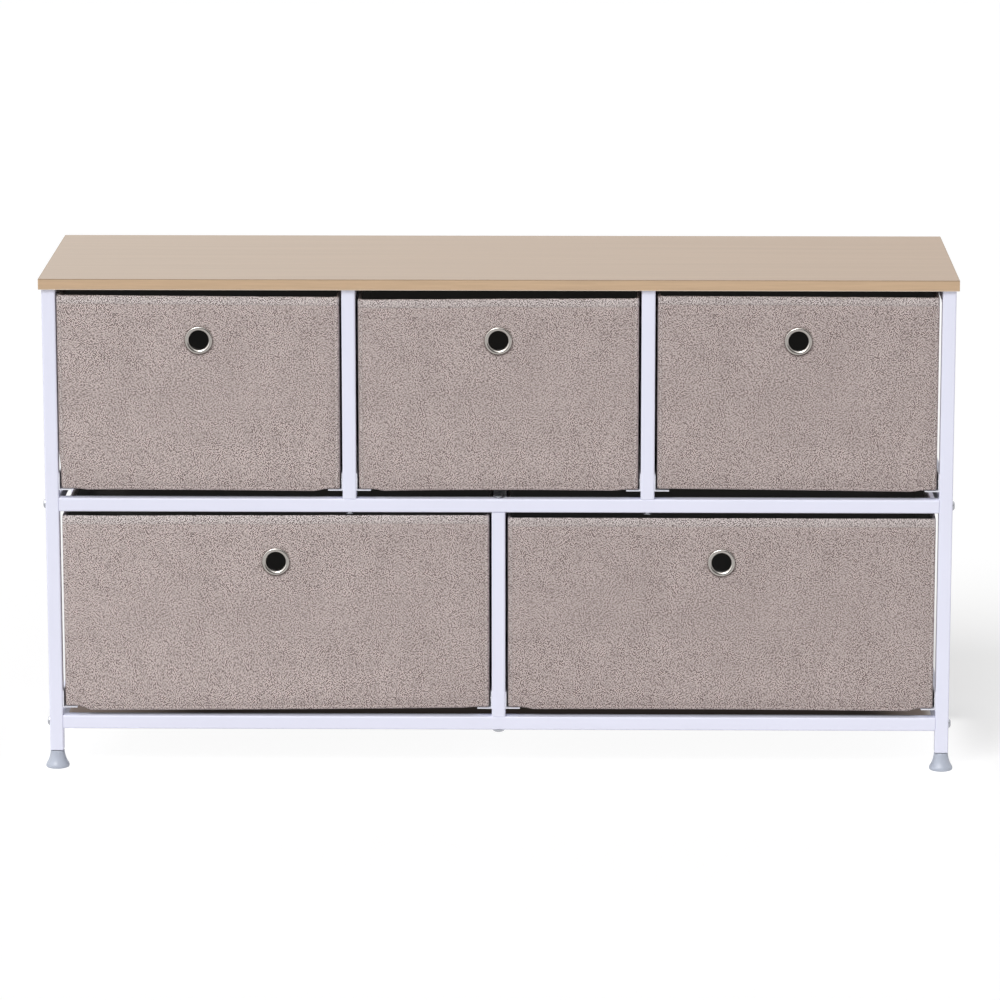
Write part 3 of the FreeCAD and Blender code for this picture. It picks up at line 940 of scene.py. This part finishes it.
def is_open_ring(edge, radius, height):
    """True on the free ring that an extrusion goes on from."""
    points = [vertex.co for vertex in edge.verts]
    off = max(max(abs(point.xy.length - radius), abs(point.z - height)) for point in points)
    return off < 0.01 * MM and len(edge.link_faces) < 2


print("ready to turn an outline")


# %% The eyelet
EYELET_OUTLINE = [
    (12.5, -4.5), (12.5, -5.0), (12.0, -5.15), (11.2, -5.1), (10.6, -4.8), (10.5, -4.3),
    (10.5, -0.4), (10.6, 0.4), (10.9, 1.0), (11.4, 1.5), (12.1, 1.95), (13.0, 2.3), (14.0, 2.3),
    (14.7, 1.9), (15.2, 1.2), (15.5, 0.35), (15.4, 0.02), (11.3, 0.02), (11.3, -4.5),
]


def eyelet(name, centre):
    piece = turned(name, EYELET_OUTLINE)
    piece.data.transform(Matrix.Translation(centre) @ Matrix.Rotation(math.pi / 2, 4, "X"))
    smooth(piece, 50)
    return piece


print("the eyelet is", 2 * max(radius for radius, height in EYELET_OUTLINE), "mm wide")

# %% [markdown]
# ## How cloth settles
# Sewn bins are never quite square. Their walls wave a little and bow out at the sides, the rim
# stands lower where the boards have slipped down, and the bottom edge lies on the two runners and
# sags between them. One bin leans on the leg beside it. Cloth simulation would find a random
# version of this. The settled shape of each bin is told instead by a few heights, and smooth
# noise adds the waves. All layers of a bin move by the same rule, so that no layer comes through
# another, and the cloth stays flat where the eyelet clamps it.

# %% How far each bin has settled
# For each bin: how far its rim and its bottom edge rise, in mm, at the left, middle and right
SETTLED = {
    "upper_left": ((-0.5, -1.6, -2.4), (-1.4, -1.7, -2.8)),
    "upper_middle": ((-5.2, -4.2, -3.3), (-2.6, -0.8, -1.8)),
    "upper_right": ((-0.5, -1.1, -1.9), (1.0, -0.3, -2.2)),
    "lower_left": ((0.7, 1.6, 2.4), (-5.0, -3.6, -0.6)),
    "lower_right": ((-0.4, -0.5, -0.5), (-2.6, -2.2, -3.8)),
}
BOW = 1.6 * MM
# A bin that leans on the leg to its left, above the runner's web
LEAN = {"upper_left": 2 * MM}
WAVE = 0.45 * MM
WAVE_LENGTH = 75 * MM
RIPPLE = 0.25 * MM
RIPPLE_LENGTH = 30 * MM
LAYERS = 8 * MM  # points nearer than this to a side belong to the layers of that wall
FADE = 60 * MM  # from a corner to where a wall is free to bow
CLAMPED, FREE = 17 * MM, 55 * MM  # how far from the eyelet's middle the cloth is held, and is free


def between(values, share):
    """A smooth curve through a left, a middle and a right value."""
    left, middle, right = values
    bow = middle - (left + right) / 2
    return left + (right - left) * share + 4 * bow * share * (1 - share)


print("the lowest point of a bottom edge sags by", -min(min(foot) for rim, foot in SETTLED.values()), "mm")


# %% Settle the cloth
def settle(piece, name):
    """Moves each point of a bin's layer from the square shape to the settled one."""
    low, high = bin_box(name)
    size = high - low
    seed = 10 * list(SETTLED).index(name)
    rim, foot = SETTLED[name]
    eyelet_at = eyelet_middle(low, high)
    for vertex in piece.data.vertices:
        point = vertex.co.copy()
        across, deep, up = ((point[axis] - low[axis]) / size[axis] for axis in range(3))
        in_front = point.y < low.y + LAYERS
        far = (point - eyelet_at).xz.length
        free = smoothstep(CLAMPED, FREE, far) if in_front else 1
        from_corner_x = min(point.x - low.x, high.x - point.x)
        from_corner_y = min(point.y - low.y, high.y - point.y)
        upward = smoothstep(0.03, 0.25, up)
        if from_corner_y < LAYERS:
            side = -1 if in_front else 1
            wave = noise.noise(Vector((point.x / WAVE_LENGTH, seed + side, point.z / WAVE_LENGTH)))
            vertex.co.y += side * WAVE * wave * free * upward * smoothstep(0, FADE / 2, from_corner_x)
        if from_corner_x < LAYERS:
            side = -1 if across < 0.5 else 1
            wave = noise.noise(Vector((seed + side, point.y / WAVE_LENGTH, point.z / WAVE_LENGTH)))
            vertex.co.x += side * WAVE * (wave - 0.4) * upward * smoothstep(0, FADE / 2, from_corner_y)
            bow = 0 if name in LEAN and side < 0 else BOW
            vertex.co.x += side * bow * smoothstep(0.15, 0.4, up) * smoothstep(0, FADE, from_corner_y)
        lean = LEAN.get(name, 0) * (1 - smoothstep(0, FADE, point.x - low.x))
        vertex.co.x -= lean * smoothstep(0.09, 0.2, up)
        rise = between(rim, across) * MM * smoothstep(0.35, 1, up) * (1 - 0.5 * deep)
        drop = between(foot, across) * MM * (1 - smoothstep(0, 0.35, up)) * (1 - smoothstep(0, 0.3, deep))
        if drop < 0:
            drop *= smoothstep(RUNNER, 2 * RUNNER, from_corner_x)
        ripple = RIPPLE * noise.noise(Vector((point.x / RIPPLE_LENGTH, point.y / RIPPLE_LENGTH, seed)))
        vertex.co.z += (rise + drop + ripple * smoothstep(0.5, 1, up)) * free


print("the walls bow out by up to", round(BOW / MM, 1), "mm")


# %% Tone, material and body of a piece
# How light each bin's cloth is made at its left and right end, against the others: painted light
# falloff, lighter to the left where the key light falls, and a small difference in tone between bins
TONE_AND_FALLOFF = {
    "upper_left": (1.055, 1.025),
    "upper_middle": (1.008, 0.992),
    "upper_right": (0.966, 0.96),
    "lower_left": (1.085, 0.985),
    "lower_right": (0.966, 0.952),
}


def note_tone_and_falloff(piece, name):
    """Stores on each point of a cover how light its cloth is made there, painted light falloff included,
    for the finish.
    """
    low, high = bin_box(name)
    left, right = TONE_AND_FALLOFF[name]
    shares = [(vertex.co.x - low.x) / (high.x - low.x) for vertex in piece.data.vertices]
    store(piece, "batch", [left * (1 - share) + right * share for share in shares])


def finished(piece, body, slot_name, *materials):
    """Gives a piece its materials and its body. Its slot name is not used."""
    for material in materials:
        piece.data.materials.append(material.owner)
    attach(piece, body)


def centred_box(name):
    """A bin's box, moved to the middle of the X axis."""
    low, high = bin_box(name)
    shift = Vector((bin_middle(name), 0, 0))
    return low - shift, high - shift


print("the lightest cloth is", max(max(ends) for ends in TONE_AND_FALLOFF.values()), "of the middle tone")

# %% Build one bin of each size, and copy it to its bays
for level, names in BINS.items():
    low, high = centred_box(names[0])
    skin_one = skin("skin_" + level, low, high)
    punch(skin_one, low, high)
    smooth(skin_one, 40)
    note_eyelet(skin_one, eyelet_middle(low, high))
    lining_one = lining("lining_one_" + level, low, high)
    punch(lining_one, low, high)
    smooth(lining_one, 40)
    board_one = base_board("base_one_" + level, low, high)
    smooth(board_one, 40)
    stitches_one = stitching("stitches_one_" + level, low, high)
    smooth(stitches_one, 70)
    eyelet_one = eyelet("eyelet_one_" + level, eyelet_middle(low, high))
    for name in names:
        shift = Matrix.Translation((bin_middle(name), 0, 0))
        body = "bin_" + name
        cover = copy_of(skin_one, "bin_cover_" + name)
        inside = copy_of(lining_one, "bin_lining_" + name)
        base = copy_of(board_one, "bin_base_" + name)
        sewing = copy_of(stitches_one, "bin_stitches_" + name)
        pull = copy_of(eyelet_one, "finger_pull_" + name)
        for piece in (cover, inside, base, sewing, pull):
            piece.data.transform(shift)
        for piece in (cover, inside, sewing):
            settle(piece, name)
        # The cover's tone includes painted light falloff from left to right
        note_tone_and_falloff(cover, name)
        finished(cover, body, "bin_fabric", fabric, lining_cloth)
        finished(inside, body, "bin_lining", lining_cloth)
        finished(base, body, "bin_lining", lining_cloth)
        finished(sewing, body, "bin_fabric", thread)
        finished(pull, body, "eyelet_metal", nickel)
        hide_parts("bin_shell_" + name, "wall_boards_" + name)
        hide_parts("lining_" + name)
        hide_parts("base_board_" + name)
        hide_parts("eyelet_" + name)
    for piece in (skin_one, lining_one, board_one, stitches_one, eyelet_one):
        print(piece.name, len(piece.data.polygons), "faces")
        bpy.data.objects.remove(piece)

# %% [markdown]
# ## Bolts and screws
# The rails are held by button head bolts through the legs, and by flanged screws through the
# rails into the posts. Under the bottom rails, where there is room, the screws have a broad head.
# All have a domed head with a hexagon socket. The head is turned like the eyelet, and its inner
# ring is pushed out to a hexagon before it is sunk.

# %% One bolt with a hexagon socket
SOCKET = 1.7  # from the middle of the head to the middle of a socket's side, in mm
SOCKET_DEPTH = 1.5


def button_head(name, radius, height, standoff, shank):
    """A bolt whose head starts at the origin and stands out along +Z. All sizes in mm."""
    top = standoff + height
    outline = [
        (3.0, -shank), (3.0, standoff), (radius - 0.15, standoff), (radius, standoff + 0.15),
        (radius, standoff + 0.45), (radius * 0.93, standoff + height * 0.45),
        (radius * 0.8, standoff + height * 0.72), (radius * 0.62, top - 0.12), (radius * 0.5, top),
        (2.2, top), (2.0, top - 0.1),
    ]
    piece = turned(name, outline, sides=36, caps=True)
    with editing(piece):
        pick("FACE", lambda face: len(face.verts) > 4 and face.calc_center_median().z > 0)
        bpy.ops.mesh.inset(thickness=0.05 * MM)
        form = bmesh.from_edit_mesh(piece.data)
        for vertex in form.verts:
            if vertex.select:
                angle = math.atan2(vertex.co.y, vertex.co.x) % (math.pi / 3) - math.pi / 6
                vertex.co.xy = vertex.co.xy.normalized() * (SOCKET * MM / math.cos(angle))
        bpy.ops.mesh.extrude_region_move(TRANSFORM_OT_translate={"value": (0, 0, -SOCKET_DEPTH * MM)})
        bpy.ops.mesh.inset(thickness=0.6 * MM)
        bpy.ops.transform.translate(value=(0, 0, -0.3 * MM))
    smooth(piece, 40)
    return piece


print("a hexagon key of", round(2 * SOCKET, 1), "mm fits the sockets")


# %% Set bolts and screws
def set_all(name, kinds, body, slot_name, graph):
    """Sets copies of pieces that were made along +Z, each kind at its own places, and joins them.
    A place is a point and a direction."""
    copies = []
    for one, places in kinds:
        for point, direction in places:
            twin = copy_of(one, name + "_" + str(len(copies)))
            turn = UP.rotation_difference(direction).to_matrix().to_4x4()
            twin.data.transform(Matrix.Translation(point) @ turn)
            copies.append(twin)
        bpy.data.objects.remove(one)
    piece = join(name, copies)
    finished(piece, body, slot_name, graph)
    return piece


def middle_of(node):
    low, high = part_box(node)
    return (low + high) / 2


rails = {
    (level, end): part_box(level + "_rail_" + end)
    for level in ("middle", "bottom")
    for end in ("front", "back")
}
bolt_places = []
for low, high in rails.values():
    for node, outward in (("side_frame_left", LEFT), ("side_frame_right", RIGHT)):
        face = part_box(node)[0 if outward.x < 0 else 1].x
        bolt_places.append((Vector((face, (low.y + high.y) / 2, (low.z + high.z) / 2)), outward))
bolt = button_head("bolt", radius=5.4, height=2.6, standoff=0, shank=27)
bolts = set_all("button_bolts", [(bolt, bolt_places)], "frame", "zinc", zinc)
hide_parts("leg_bolts")

screw_places, foot_places = [], []
for (level, end), (low, high) in rails.items():
    y = (low.y + high.y) / 2
    if level == "middle":
        for node in ("upper_divider_left", "upper_divider_right"):
            screw_places.append((Vector((middle_of(node).x, y, low.z)), DOWN))
        screw_places.append((Vector((middle_of("lower_divider").x, y, high.z)), UP))
    else:
        foot_places.append((Vector((middle_of("lower_divider").x, y, low.z)), DOWN))
screw = button_head("screw", radius=4.8, height=1.3, standoff=1.9, shank=27)
broad_screw = button_head("broad_screw", radius=7.4, height=3.2, standoff=0, shank=27)
screws = set_all("post_screws", [(screw, screw_places), (broad_screw, foot_places)], "frame", "zinc", zinc)
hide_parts("divider_screws")
print(len(bolt_places), "bolts and", len(screw_places) + len(foot_places), "screws")

# %% [markdown]
# ## Levelling feet
# Each foot is moulded in one piece round the head of its stud. It leaves the tube as wide as the
# tube itself and flares to a broad rim, so that it spreads the load on a soft floor. It is turned
# from its outline, and its stud runs up into the plug.

# %% Turn one foot and set four
FOOT_OUTLINE = [
    (11.8, 0), (12.6, 0.35), (12.95, 1.2), (13.0, 2.4), (12.7, 3.6), (12.0, 4.9), (11.0, 6.5),
    (10.1, 8.5), (9.3, 10.8), (8.6, 13.2), (8.1, 15.6), (7.9, 17.6), (7.8, 18.9), (7.4, 19.5),
    (3.0, 19.5), (3.0, 40.5),
]
foot = turned("foot", FOOT_OUTLINE, sides=64, caps=True)
smooth(foot, 50)
for end in ("front", "back"):
    for side in ("left", "right"):
        place = end + "_" + side
        flared = copy_of(foot, "flared_foot_" + place)
        centre = middle_of("foot_" + place)
        flared.data.transform(Matrix.Translation((centre.x, centre.y, 0)))
        finished(flared, "levelling_foot_" + place, "foot_plastic", cloudy_plastic)
        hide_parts("foot_" + place)
print("four feet of", len(foot.data.polygons), "faces")
bpy.data.objects.remove(foot)

# %% [markdown]
# ## Welds
# Each cross tube is welded to its two uprights. The bead runs round the square tube, swells and
# thins along its way, and is painted over. A torus is pressed into the tube's rounded square,
# and its radius is made to ripple.

# %% One weld bead
BEAD = 1.1 * MM
SHARPNESS = 7  # 2 would make a circle, and more comes closer to a square


def weld_bead(half):
    """A bead round a square tube of this half width that points along Z."""
    piece = added(
        bpy.ops.mesh.primitive_torus_add, major_segments=72, minor_segments=8, major_radius=half,
        minor_radius=BEAD, location=(0, 0, 0),
    )
    for vertex in piece.data.vertices:
        x, y, z = vertex.co
        angle = math.atan2(y, x)
        square = (abs(math.cos(angle)) ** SHARPNESS + abs(math.sin(angle)) ** SHARPNESS) ** (-1 / SHARPNESS)
        ring = Vector((math.cos(angle), math.sin(angle), 0)) * half
        swell = 0.82 + 0.18 * math.sin(angle * 24 + 1.5 * math.sin(angle * 3))
        vertex.co = ring * square + (vertex.co - ring) * swell
    smooth(piece, 70)
    return piece


print("a bead is", round(2 * BEAD / MM, 1), "mm wide")


# %% Weld every cross tube
def bead_places():
    """The two ends of every cross tube."""
    bottom_low, bottom_high = (corner.z for corner in rails["bottom", "front"])
    middle_low, middle_high = (corner.z for corner in rails["middle", "front"])
    half = (middle_high - middle_low) / 2
    under_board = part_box("top_board")[0].z
    levels = {
        "side_frame": (bottom_low, middle_low, under_board - 2 * half),
        "upper_divider": (middle_high, under_board - 2 * half),
        "lower_divider": (bottom_high, middle_low - 2 * half),
    }
    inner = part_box("side_frame_left")[1].y - 2 * half
    places = []
    frames = "side_frame_left", "side_frame_right"
    dividers = "upper_divider_left", "upper_divider_right", "lower_divider"
    for node in frames + dividers:
        kind = node.replace("_left", "").replace("_right", "")
        for level in levels[kind]:
            for y, way in ((-inner, BACK), (inner, FRONT)):
                places.append((Vector((middle_of(node).x, y, level + half)), way))
    return places, half, under_board


places, half, under_board = bead_places()
beads = set_all("weld_beads", [(weld_bead(half - 0.15 * MM), places)], "frame", "white_frame", powder_coat)
for vertex in beads.data.vertices:
    vertex.co.z = min(vertex.co.z, under_board - 0.1 * MM)
    nearest = min(places, key=lambda place: abs(place[0].x - vertex.co.x))[0].x
    vertex.co.x = min(max(vertex.co.x, nearest - half - 0.2 * MM), nearest + half + 0.2 * MM)
print(len(places), "weld beads,", len(beads.data.polygons), "faces")

# %% [markdown]
# ## Sizes
# The visual model has to stay in the CAD model's box, but for the little that cloth may stand
# proud.
